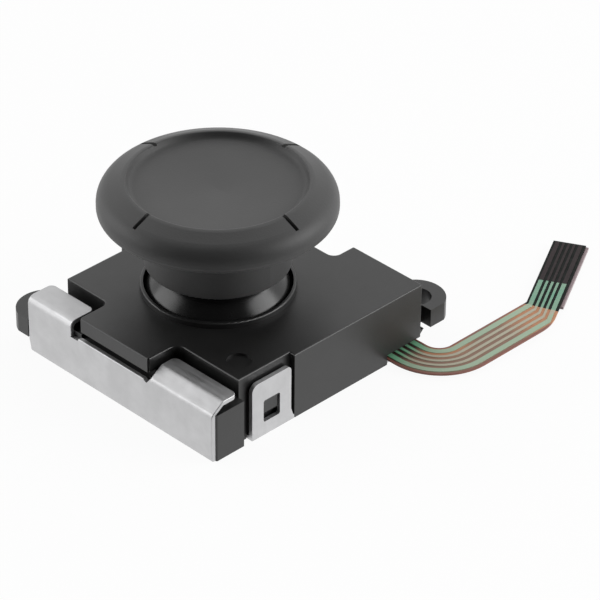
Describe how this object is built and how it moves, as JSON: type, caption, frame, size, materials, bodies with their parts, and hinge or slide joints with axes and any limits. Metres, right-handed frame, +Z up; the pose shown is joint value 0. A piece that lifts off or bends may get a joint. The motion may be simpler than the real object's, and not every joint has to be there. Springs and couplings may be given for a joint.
{
  "type": "controller analog stick",
  "caption": "Thumb stick module: rubber cap on a tilting, clicking lever in a low plastic housing on a folded steel base, with fixing ears and a flat ribbon tail.",
  "frame": {"origin": "on the stick's axis, at the underside of the steel base", "axes": "+Z up the stick; -Y towards the two steel hooks; +X towards the wall that the ribbon leaves through"},
  "size_m": [0.0247, 0.0355, 0.013],
  "materials": {
    "plate_steel": "rolled spring steel, satin",
    "housing_plastic": "black moulded plastic, satin",
    "inner_plastic": "black moulded plastic",
    "film_amber": "amber polyimide film",
    "trace_green": "green varnished copper",
    "contact_carbon": "carbon printed contacts",
    "stiffener_film": "thin stiff film",
    "carbon": "printed carbon",
    "spring_steel": "stamped",
    "cover_film": "thin film",
    "slide_plastic": "natural acetal",
    "wiper_bronze": "bronze leaf",
    "lever_gloss": "polished black plastic",
    "cap_rubber": "soft matt rubber"
  },
  "bodies": {
    "case": {"base_plate": "plate_steel", "housing": "housing_plastic", "bearing_frame": "inner_plastic", "flex_film": "film_amber", "trace_lines": "trace_green", "contact_pads": "contact_carbon", "tail_stiffener": "stiffener_film", "carbon_track_x": "carbon", "carbon_track_y": "carbon", "click_dome": "spring_steel", "dome_cover": "cover_film"},
    "lower_rocker": {"lower_rocker": "slide_plastic"},
    "hub": {"pivot_hub": "slide_plastic", "return_spring": "spring_steel"},
    "stick": {"stick_lever": "lever_gloss", "lever_clip": "spring_steel", "spring_washer": "spring_steel", "cap_core": "inner_plastic", "thumb_cap": "cap_rubber"},
    "upper_rocker": {"upper_rocker": "slide_plastic"},
    "slider_x": {"slider_x": "slide_plastic", "wiper_x": "wiper_bronze"},
    "slider_y": {"slider_y": "slide_plastic", "wiper_y": "wiper_bronze"}
  },
  "joints": [
    {"name": "tilt_about_x", "type": "hinge", "parent": "case", "child": "lower_rocker", "pos_m": [0, 0, 0.0022], "axis": [1, 0, 0], "range_deg": [-12, 12], "stiffness_Nm_per_rad": 0.02},
    {"name": "tilt_about_y", "type": "hinge", "parent": "lower_rocker", "child": "hub", "pos_m": [0, 0, 0.0022], "axis": [0, 1, 0], "range_deg": [-12, 12], "stiffness_Nm_per_rad": 0.02},
    {"name": "press", "type": "slide", "parent": "hub", "child": "stick", "axis": [0, 0, -1], "range_m": [0, 0.0002], "stiffness_N_per_m": 3000, "deforming": ["return_spring", "click_dome", "dome_cover"]},
    {"name": "arch_follow", "type": "hinge", "parent": "case", "child": "upper_rocker", "pos_m": [0, 0, 0.0022], "axis": [0, 1, 0], "range_deg": [-12, 12]},
    {"name": "slider_x_follow", "type": "slide", "parent": "case", "child": "slider_x", "axis": [1, 0, 0], "range_m": [-0.000262, 0.000262]},
    {"name": "slider_y_follow", "type": "slide", "parent": "case", "child": "slider_y", "axis": [0, 1, 0], "range_m": [-0.000262, 0.000262]}
  ],
  "couplings": [
    {"joint": "arch_follow", "follows": "tilt_about_y", "ratio": 1},
    {"joint": "slider_x_follow", "follows": "tilt_about_y", "m_per_rad": -0.00125},
    {"joint": "slider_y_follow", "follows": "tilt_about_x", "m_per_rad": 0.00125}
  ]
}
